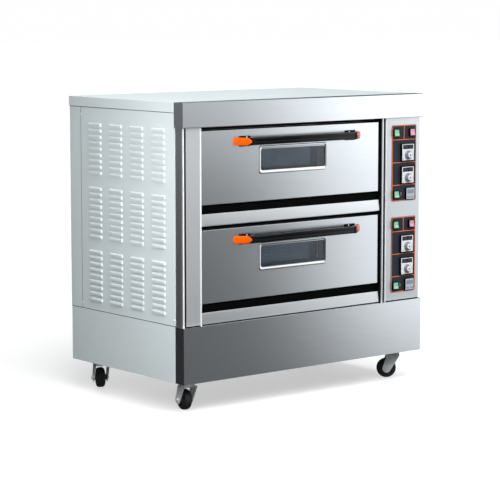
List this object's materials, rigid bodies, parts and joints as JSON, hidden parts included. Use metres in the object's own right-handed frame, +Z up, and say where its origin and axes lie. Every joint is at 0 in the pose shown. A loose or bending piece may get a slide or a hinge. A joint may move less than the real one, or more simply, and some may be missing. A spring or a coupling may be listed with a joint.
{
  "type": "deck oven",
  "caption": "Free-standing electric deck oven with drop-down windowed doors, bar handles, louvred sides, control column and swivel casters.",
  "frame": {"origin": "on the floor, at the middle of the oven's box", "axes": "+X to the right seen from the front, +Z up, the doors face -Y"},
  "size_m": [1.226, 0.782, 1.167],
  "materials": {
    "stainless": "satin",
    "door_stainless": "satin",
    "pale_paint": "satin",
    "chassis_paint": "matte",
    "galvanised": "satin",
    "black_bar": "matte",
    "control_plate": "satin",
    "black_moulding": "satin",
    "hearth_steel": "matte",
    "chamber_steel": "satin",
    "mineral_wool": "matte",
    "lamp_glass": "gloss",
    "zinc": "satin",
    "window_glass": "gloss",
    "handle_black": "satin",
    "orange": "gloss",
    "knob_grey": "satin",
    "rocker_green": "gloss",
    "rocker_red": "gloss",
    "key_grey": "satin",
    "tyre": "matte"
  },
  "bodies": {
    "root": {"chassis_frame": "chassis_paint", "inner_sheets": "galvanised", "plinth_front": "stainless", "plinth_panels": "pale_paint", "left_panel": "pale_paint", "right_panel": "pale_paint", "rear_casing": "pale_paint", "top_cover": "pale_paint", "top_fascia": "stainless", "front_surround": "stainless", "recess_bars": "black_bar", "control_cover": "stainless", "control_plates": "control_plate", "instruments": "black_moulding", "switch_bezels": "black_moulding", "hinge_pins": "galvanised", "hearth_plates": "hearth_steel", "heating_elements": "chamber_steel", "insulation": "mineral_wool", "oven_lamps": "lamp_glass", "temperature_sensors": "chamber_steel", "electrical_gear": "black_moulding", "fasteners": "zinc", "upper_chamber": "chamber_steel", "lower_chamber": "chamber_steel", "caster_plates": "zinc"},
    "lower_door": {"lower_door_panel": "door_stainless", "lower_door_liner": "chamber_steel", "lower_window_frame": "door_stainless", "lower_window_glass": "window_glass", "lower_handle": "handle_black", "lower_handle_caps": "orange"},
    "lower_top_heat_knob": {"lower_top_heat_knob": "knob_grey"},
    "lower_bottom_heat_knob": {"lower_bottom_heat_knob": "knob_grey"},
    "lower_heat_rocker": {"lower_heat_rocker": "rocker_green"},
    "lower_lamp_rocker": {"lower_lamp_rocker": "rocker_red"},
    "lower_steam_rocker": {"lower_steam_rocker": "rocker_green"},
    "lower_timer_left_key": {"lower_timer_left_key": "key_grey"},
    "lower_timer_right_key": {"lower_timer_right_key": "key_grey"},
    "upper_door": {"upper_door_panel": "door_stainless", "upper_door_liner": "chamber_steel", "upper_window_frame": "door_stainless", "upper_window_glass": "window_glass", "upper_handle": "handle_black", "upper_handle_caps": "orange"},
    "upper_top_heat_knob": {"upper_top_heat_knob": "knob_grey"},
    "upper_bottom_heat_knob": {"upper_bottom_heat_knob": "knob_grey"},
    "upper_heat_rocker": {"upper_heat_rocker": "rocker_green"},
    "upper_lamp_rocker": {"upper_lamp_rocker": "rocker_red"},
    "upper_steam_rocker": {"upper_steam_rocker": "rocker_green"},
    "upper_timer_left_key": {"upper_timer_left_key": "key_grey"},
    "upper_timer_right_key": {"upper_timer_right_key": "key_grey"},
    "caster_fork_front_left": {"caster_fork_front_left": "zinc"},
    "caster_wheel_front_left": {"caster_wheel_front_left": "tyre"},
    "caster_fork_front_right": {"caster_fork_front_right": "zinc"},
    "caster_wheel_front_right": {"caster_wheel_front_right": "tyre"},
    "caster_fork_rear_left": {"caster_fork_rear_left": "zinc"},
    "caster_wheel_rear_left": {"caster_wheel_rear_left": "tyre"},
    "caster_fork_rear_right": {"caster_fork_rear_right": "zinc"},
    "caster_wheel_rear_right": {"caster_wheel_rear_right": "tyre"}
  },
  "joints": [
    {"name": "lower_door_hinge", "type": "hinge", "parent": "root", "child": "lower_door", "pos_m": [-0.059, -0.336, 0.42], "axis": [1, 0, 0], "range_deg": [0, 90]},
    {"name": "lower_top_heat_knob_turn", "type": "hinge", "parent": "root", "child": "lower_top_heat_knob", "pos_m": [0.5335, -0.368, 0.551], "axis": [0, 1, 0], "range_deg": [0, 300]},
    {"name": "lower_bottom_heat_knob_turn", "type": "hinge", "parent": "root", "child": "lower_bottom_heat_knob", "pos_m": [0.5335, -0.368, 0.4595], "axis": [0, 1, 0], "range_deg": [0, 300]},
    {"name": "lower_heat_rocker_tip", "type": "hinge", "parent": "root", "child": "lower_heat_rocker", "pos_m": [0.471, -0.3615, 0.641], "axis": [1, 0, 0], "range_deg": [0, 20]},
    {"name": "lower_lamp_rocker_tip", "type": "hinge", "parent": "root", "child": "lower_lamp_rocker", "pos_m": [0.558, -0.3615, 0.641], "axis": [1, 0, 0], "range_deg": [0, 20]},
    {"name": "lower_steam_rocker_tip", "type": "hinge", "parent": "root", "child": "lower_steam_rocker", "pos_m": [0.4725, -0.3615, 0.393], "axis": [1, 0, 0], "range_deg": [0, 20]},
    {"name": "lower_timer_left_key_press", "type": "slide", "parent": "root", "child": "lower_timer_left_key", "axis": [0, 1, 0], "range_m": [0, 0.0015], "stiffness_N_per_m": 400, "springref_m": -0.0005},
    {"name": "lower_timer_right_key_press", "type": "slide", "parent": "root", "child": "lower_timer_right_key", "axis": [0, 1, 0], "range_m": [0, 0.0015], "stiffness_N_per_m": 400, "springref_m": -0.0005},
    {"name": "upper_door_hinge", "type": "hinge", "parent": "root", "child": "upper_door", "pos_m": [-0.059, -0.336, 0.791], "axis": [1, 0, 0], "range_deg": [0, 90]},
    {"name": "upper_top_heat_knob_turn", "type": "hinge", "parent": "root", "child": "upper_top_heat_knob", "pos_m": [0.5335, -0.368, 0.922], "axis": [0, 1, 0], "range_deg": [0, 300]},
    {"name": "upper_bottom_heat_knob_turn", "type": "hinge", "parent": "root", "child": "upper_bottom_heat_knob", "pos_m": [0.5335, -0.368, 0.8305], "axis": [0, 1, 0], "range_deg": [0, 300]},
    {"name": "upper_heat_rocker_tip", "type": "hinge", "parent": "root", "child": "upper_heat_rocker", "pos_m": [0.471, -0.3615, 1.012], "axis": [1, 0, 0], "range_deg": [0, 20]},
    {"name": "upper_lamp_rocker_tip", "type": "hinge", "parent": "root", "child": "upper_lamp_rocker", "pos_m": [0.558, -0.3615, 1.012], "axis": [1, 0, 0], "range_deg": [0, 20]},
    {"name": "upper_steam_rocker_tip", "type": "hinge", "parent": "root", "child": "upper_steam_rocker", "pos_m": [0.4725, -0.3615, 0.764], "axis": [1, 0, 0], "range_deg": [0, 20]},
    {"name": "upper_timer_left_key_press", "type": "slide", "parent": "root", "child": "upper_timer_left_key", "axis": [0, 1, 0], "range_m": [0, 0.0015], "stiffness_N_per_m": 400, "springref_m": -0.0005},
    {"name": "upper_timer_right_key_press", "type": "slide", "parent": "root", "child": "upper_timer_right_key", "axis": [0, 1, 0], "range_m": [0, 0.0015], "stiffness_N_per_m": 400, "springref_m": -0.0005},
    {"name": "swivel_front_left", "type": "hinge", "parent": "root", "child": "caster_fork_front_left", "pos_m": [-0.533, -0.288, 0.106], "axis": [0, 0, 1], "continuous": true},
    {"name": "roll_front_left", "type": "hinge", "parent": "caster_fork_front_left", "child": "caster_wheel_front_left", "pos_m": [-0.52814, -0.26043, 0.04], "axis": [-0.9848, 0.1736, 0], "continuous": true},
    {"name": "swivel_front_right", "type": "hinge", "parent": "root", "child": "caster_fork_front_right", "pos_m": [0.533, -0.288, 0.106], "axis": [0, 0, 1], "continuous": true},
    {"name": "roll_front_right", "type": "hinge", "parent": "caster_fork_front_right", "child": "caster_wheel_front_right", "pos_m": [0.51124, -0.27038, 0.04], "axis": [-0.6293, -0.7771, 0], "continuous": true},
    {"name": "swivel_rear_left", "type": "hinge", "parent": "root", "child": "caster_fork_rear_left", "pos_m": [-0.533, 0.277, 0.106], "axis": [0, 0, 1], "continuous": true},
    {"name": "roll_rear_left", "type": "hinge", "parent": "caster_fork_rear_left", "child": "caster_wheel_rear_left", "pos_m": [-0.52161, 0.30258, 0.04], "axis": [-0.9135, 0.4067, 0], "continuous": true},
    {"name": "swivel_rear_right", "type": "hinge", "parent": "root", "child": "caster_fork_rear_right", "pos_m": [0.533, 0.277, 0.106], "axis": [0, 0, 1], "continuous": true},
    {"name": "roll_rear_right", "type": "hinge", "parent": "caster_fork_rear_right", "child": "caster_wheel_rear_right", "pos_m": [0.51985, 0.30172, 0.04], "axis": [-0.8829, -0.4695, 0], "continuous": true}
  ]
}
